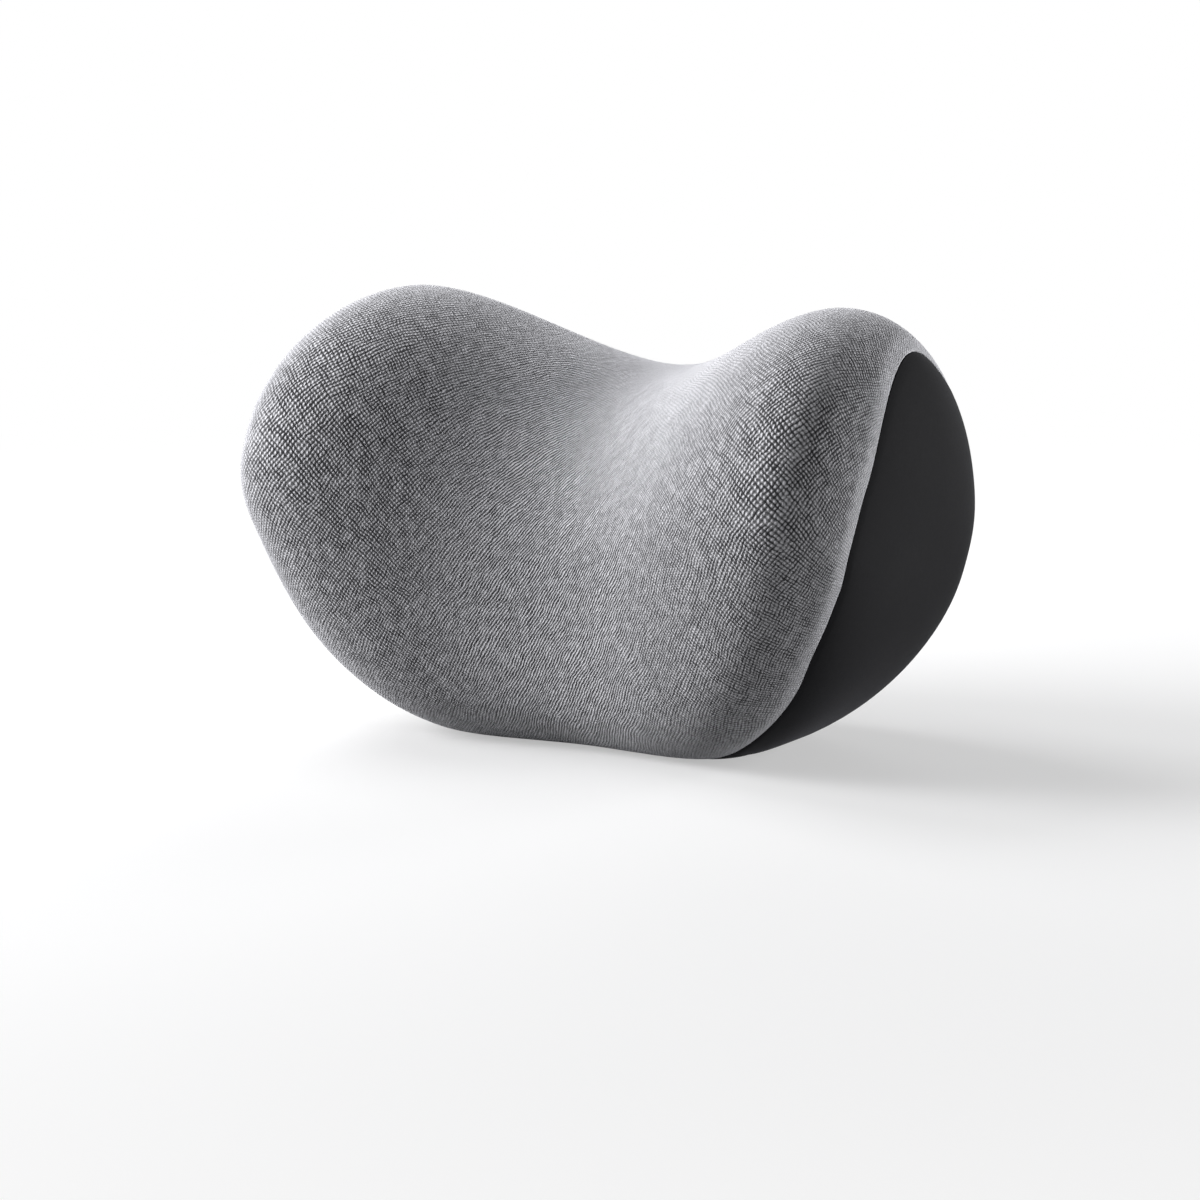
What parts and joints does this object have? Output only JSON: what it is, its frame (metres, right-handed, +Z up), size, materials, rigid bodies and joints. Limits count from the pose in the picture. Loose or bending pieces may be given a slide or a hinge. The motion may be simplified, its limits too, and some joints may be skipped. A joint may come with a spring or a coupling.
{
  "type": "car neck pillow",
  "caption": "Butterfly-shaped foam neck pillow for a car seat, with a grey knit neck face between forward wings, black sides, back and base, and a zip and elastic strap behind.",
  "frame": {"origin": "middle of the box of the whole pillow, on the flat base it stands on", "axes": "+Z up, +X to the right seen from the neck side, +Y from the neck side to the flat back"},
  "size_m": [0.2974, 0.184, 0.1905],
  "materials": {
    "grey_knit": "light grey fine knit, slightly velvety",
    "black_fabric": "smooth matt black fabric",
    "foam": "open-cell slow foam, inside the cover",
    "zip_tape": "black woven zip tape",
    "zip_nylon": "black nylon coil",
    "zip_metal": "dark nickel-plated zinc",
    "elastic_webbing": "black ribbed elastic webbing",
    "strap_patch": "black sewn reinforcement patch"
  },
  "bodies": {
    "pillow": {"front_panel": "grey_knit", "back_panel": "black_fabric", "base_panel": "black_fabric", "side_panel_left": "black_fabric", "side_panel_right": "black_fabric", "foam_core": "foam", "zip_tape_upper": "zip_tape", "zip_tape_lower": "zip_tape", "zip_coil_upper": "zip_nylon", "zip_coil_lower": "zip_nylon", "zip_stop_left": "zip_metal", "zip_stop_right": "zip_metal", "strap_band": "elastic_webbing", "strap_patch_left": "strap_patch", "strap_patch_right": "strap_patch"},
    "slider": {"zip_slider": "zip_metal"},
    "pull": {"zip_pull": "zip_metal"}
  },
  "joints": [
    {"name": "zip_slide", "type": "slide", "parent": "pillow", "child": "slider", "axis": [-1, 0, 0], "range_m": [0, 0.1375]},
    {"name": "pull_hinge", "type": "hinge", "parent": "slider", "child": "pull", "pos_m": [0.06878, 0.0783, 0.048], "axis": [0, 0, -1], "range_deg": [0, 175]}
  ]
}
